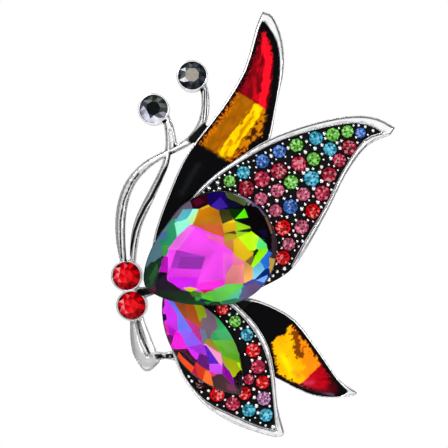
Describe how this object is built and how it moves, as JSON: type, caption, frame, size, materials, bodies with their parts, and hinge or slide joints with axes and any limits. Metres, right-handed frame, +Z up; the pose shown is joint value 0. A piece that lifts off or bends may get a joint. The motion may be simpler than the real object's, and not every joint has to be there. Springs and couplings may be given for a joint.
{
  "type": "brooch",
  "caption": "Butterfly brooch with stone-set and enamelled wings, a pear and a navette crystal, and a hinged pin with a turning safety catch.",
  "frame": {"origin": "on the pin stem's axis, halfway between its hinge and its point", "axes": "+Z up as worn, the decorated face looks along -Y, +X to the viewer's right"},
  "size_m": [0.0476, 0.0139, 0.0717],
  "materials": {
    "antiqued_silver": "cast, rhodium plated, dark in the recesses",
    "black_enamel": "glossy poured enamel",
    "amber_enamel": "glossy poured enamel with lighter streaks",
    "red_enamel": "glossy poured enamel with brighter streaks",
    "peridot_glass": "foil-backed faceted glass",
    "aqua_glass": "foil-backed faceted glass",
    "sapphire_glass": "foil-backed faceted glass",
    "rose_glass": "foil-backed faceted glass",
    "ruby_glass": "foil-backed faceted glass",
    "light_rose_glass": "foil-backed faceted glass",
    "siam_glass": "foil-backed faceted glass",
    "lilac_glass": "foil-backed faceted glass",
    "garnet_glass": "foil-backed faceted glass",
    "hematite_glass": "dark metallic faceted glass",
    "vitrail_crystal": "faceted crystal with a many-coloured vitrail coating",
    "pin_metal": "plated",
    "stem_steel": "polished spring wire"
  },
  "bodies": {
    "root": {"forewing_casting": "antiqued_silver", "forewing_enamel_black": "black_enamel", "forewing_enamel_amber": "amber_enamel", "forewing_enamel_red": "red_enamel", "tail_casting": "antiqued_silver", "tail_enamel_black": "black_enamel", "tail_enamel_amber": "amber_enamel", "tail_enamel_red": "red_enamel", "pave_wing_casting": "antiqued_silver", "upper_peridots": "peridot_glass", "upper_aquas": "aqua_glass", "upper_sapphires": "sapphire_glass", "upper_roses": "rose_glass", "upper_rubies": "ruby_glass", "upper_light_roses": "light_rose_glass", "upper_siams": "siam_glass", "lower_wing_casting": "antiqued_silver", "lower_peridots": "peridot_glass", "lower_aquas": "aqua_glass", "lower_roses": "rose_glass", "lower_siams": "siam_glass", "lower_lilacs": "lilac_glass", "lower_garnets": "garnet_glass", "body_casting": "antiqued_silver", "head_stone_upper": "siam_glass", "head_stone_lower": "siam_glass", "antenna_stone_left": "hematite_glass", "antenna_stone_right": "hematite_glass", "pear_basket": "antiqued_silver", "pear_crystal": "vitrail_crystal", "navette_cup": "antiqued_silver", "navette_crystal": "vitrail_crystal", "pin_bar": "pin_metal", "hinge_rivet": "pin_metal", "catch_housing": "pin_metal"},
    "stem": {"pin_stem": "stem_steel"},
    "lock": {"catch_lock": "pin_metal"}
  },
  "joints": [
    {"name": "stem_hinge", "type": "hinge", "parent": "root", "child": "stem", "pos_m": [-0.012, 0, 0], "axis": [0, 0, 1], "range_deg": [0, 95]},
    {"name": "catch_lock_turn", "type": "hinge", "parent": "root", "child": "lock", "pos_m": [0.0087, 0, 0], "axis": [1, 0, 0], "range_deg": [0, 100]}
  ]
}
